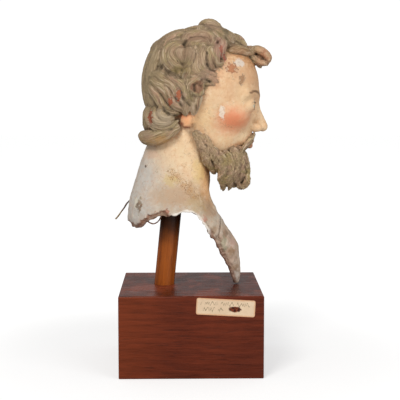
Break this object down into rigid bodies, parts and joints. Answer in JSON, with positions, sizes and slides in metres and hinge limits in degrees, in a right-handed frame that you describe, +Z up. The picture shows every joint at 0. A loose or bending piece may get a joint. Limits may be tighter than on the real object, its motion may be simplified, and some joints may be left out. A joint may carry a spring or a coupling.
{
  "type": "terracotta bust on a wooden stand",
  "caption": "Terracotta head of a bearded man on a broken shoulder shell, held by a leaning post on a square wooden block",
  "frame": {"origin": "middle of the wooden block's underside", "axes": "+Z up, +X the way the face looks, +Y the figure's left"},
  "size_m": [0.1244, 0.1103, 0.2758],
  "materials": {
    "block_wood": "satin waxed mahogany with a straight fine grain",
    "post_wood": "satin stained dowel, grain along its length",
    "painted_clay": "worn matt paint over fired clay, chipped and dusty",
    "old_iron": "dark oxidised wire",
    "sticker_paper": "matt aged paper"
  },
  "bodies": {
    "root": {"wood_block": "block_wood", "wood_post": "post_wood", "terracotta_bust": "painted_clay", "iron_wire": "old_iron", "paper_sticker": "sticker_paper"}
  },
  "joints": []
}
